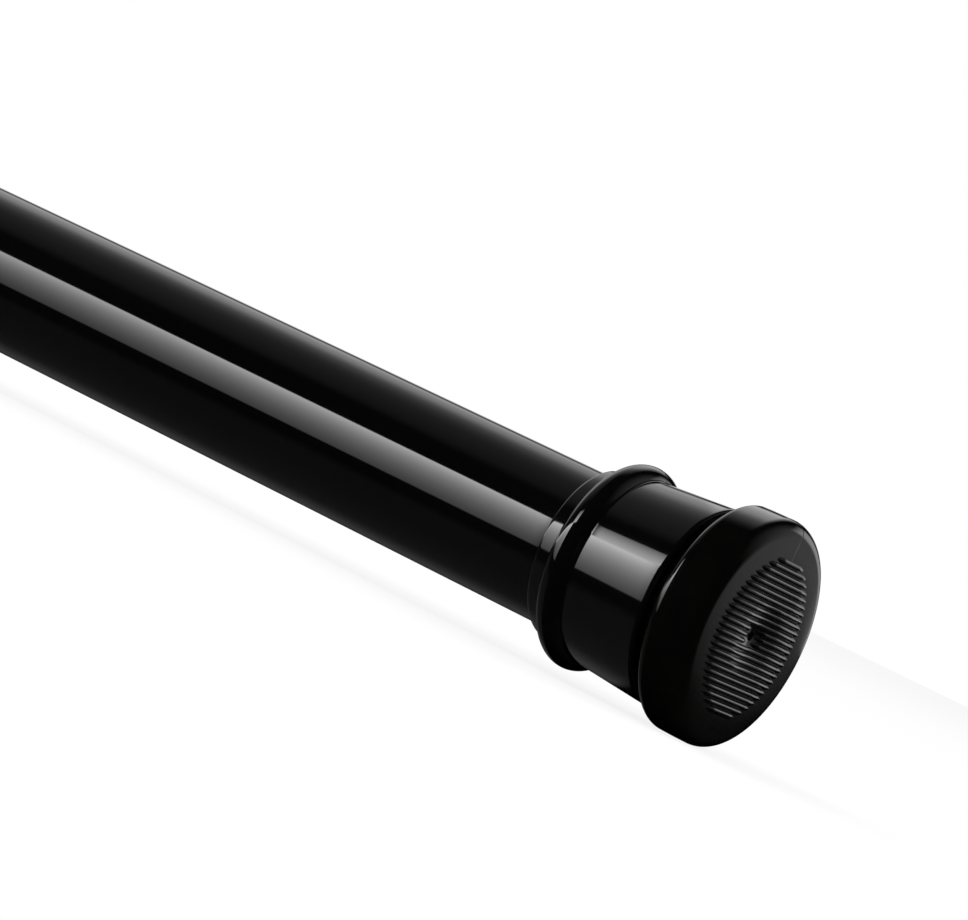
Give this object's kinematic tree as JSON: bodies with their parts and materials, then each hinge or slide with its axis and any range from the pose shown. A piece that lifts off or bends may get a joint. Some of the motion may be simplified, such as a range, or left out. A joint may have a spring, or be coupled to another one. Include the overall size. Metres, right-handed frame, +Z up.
{
  "type": "spring tension rod",
  "caption": "Telescopic spring tension rod in gloss black: two sliding steel tubes with a twist lock and an inner spring, and a beaded end sleeve with a ribbed rubber foot at each end.",
  "frame": {"origin": "centre of the outer wall face, the plane of the rubber foot's rib tops on the thicker tube's end", "axes": "+X along the rod, out of the outer wall face; +Z up, in the plane of the feet's mould seams; the ribs run along Y"},
  "size_m": [0.7013, 0.0364, 0.0364],
  "materials": {
    "black_lacquer": "high-gloss black lacquer on steel tube",
    "gloss_black_plastic": "polished black moulding",
    "black_rubber": "satin black rubber",
    "black_nylon": "black nylon moulding",
    "white_acetal": "natural acetal moulding",
    "zinc_steel": "zinc-plated steel",
    "spring_steel": "oiled spring steel"
  },
  "bodies": {
    "outer_half": {"outer_tube": "black_lacquer", "outer_end_plug": "black_nylon", "outer_end_sleeve": "gloss_black_plastic", "outer_bumper": "black_rubber", "mouth_bush": "gloss_black_plastic"},
    "collar": {"expander_collar": "white_acetal", "drag_ring": "spring_steel"},
    "cone": {"expander_cone": "white_acetal", "cone_nut": "zinc_steel"},
    "spindle": {"lock_spindle": "zinc_steel", "thrust_washer": "zinc_steel", "cone_clip": "spring_steel", "spring_follower": "white_acetal", "follower_clip": "spring_steel"},
    "inner_half": {"inner_tube": "black_lacquer", "guide_plug": "white_acetal", "spring_stop": "white_acetal", "compression_spring": "spring_steel", "inner_end_plug": "black_nylon", "inner_end_sleeve": "gloss_black_plastic", "inner_bumper": "black_rubber"}
  },
  "joints": [
    {"name": "telescope", "type": "slide", "parent": "outer_half", "child": "collar", "axis": [-1, 0, 0], "range_m": [-0.06, 0.214]},
    {"name": "lock_twist", "type": "hinge", "parent": "collar", "child": "spindle", "pos_m": [-0.2, 0, 0], "axis": [1, 0, 0], "range_deg": [0, 180]},
    {"name": "cone_draw", "type": "slide", "parent": "collar", "child": "cone", "axis": [-1, 0, 0], "range_m": [0, 0.002]},
    {"name": "spring_travel", "type": "slide", "parent": "spindle", "child": "inner_half", "axis": [1, 0, 0], "range_m": [0, 0.03], "stiffness_N_per_m": 3000, "deforming": ["compression_spring"]}
  ],
  "couplings": [
    {"joint": "cone_draw", "follows": "lock_twist", "m_per_rad": 0.00063662}
  ]
}
